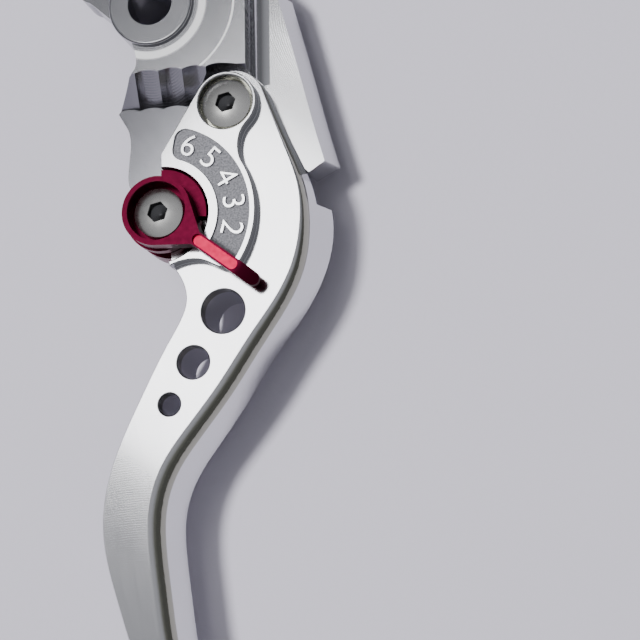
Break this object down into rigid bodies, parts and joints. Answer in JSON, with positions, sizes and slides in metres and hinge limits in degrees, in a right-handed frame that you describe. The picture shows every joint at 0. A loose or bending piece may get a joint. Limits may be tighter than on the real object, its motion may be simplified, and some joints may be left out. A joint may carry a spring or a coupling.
{
  "type": "brake lever",
  "caption": "Adjustable right-hand brake lever: a milled grip pivoted on a base, with a numbered cam adjuster that sets the reach against a return spring.",
  "frame": {"origin": "on the axis of the main pivot bore, level with the lever's flat underside", "axes": "+Z along the main pivot towards the side with the numbered dial, -Y towards the tip of the grip, +X towards the finger side"},
  "size_m": [0.0568, 0.1873, 0.025],
  "materials": {
    "base_metal": "satin machined with milling arcs",
    "blade_metal": "satin machined with brushed top",
    "red_anodised": "red anodised, satin",
    "screw_steel": "satin",
    "nut_steel": "zinc bright",
    "spring_steel": "bright wire",
    "blue_nylon": "matte",
    "grey_nylon": "matte",
    "brass": "turned"
  },
  "bodies": {
    "base": {"lever_base": "base_metal", "pivot_screw": "screw_steel", "pivot_nut": "nut_steel", "pivot_nut_insert": "grey_nylon", "pivot_sleeve": "brass", "pivot_shim": "brass", "return_spring": "spring_steel"},
    "blade": {"lever_blade": "blade_metal", "adjuster_screw": "screw_steel", "adjuster_washer": "nut_steel", "adjuster_nut": "nut_steel", "adjuster_nut_insert": "blue_nylon"},
    "adjuster": {"adjuster_lever": "red_anodised"}
  },
  "joints": [
    {"name": "blade_reach", "type": "hinge", "parent": "base", "child": "blade", "pos_m": [0.0164, -0.0235, 0.008], "axis": [0, 0, 1], "range_deg": [0, 6.9], "deforming": ["return_spring"]},
    {"name": "adjuster_turn", "type": "hinge", "parent": "blade", "child": "adjuster", "pos_m": [0.0022, -0.0473, 0.011], "axis": [0, 0, 1], "range_deg": [0, 100]}
  ],
  "couplings": [
    {"joint": "blade_reach", "follows": "adjuster_turn", "ratio": 0.0685}
  ]
}
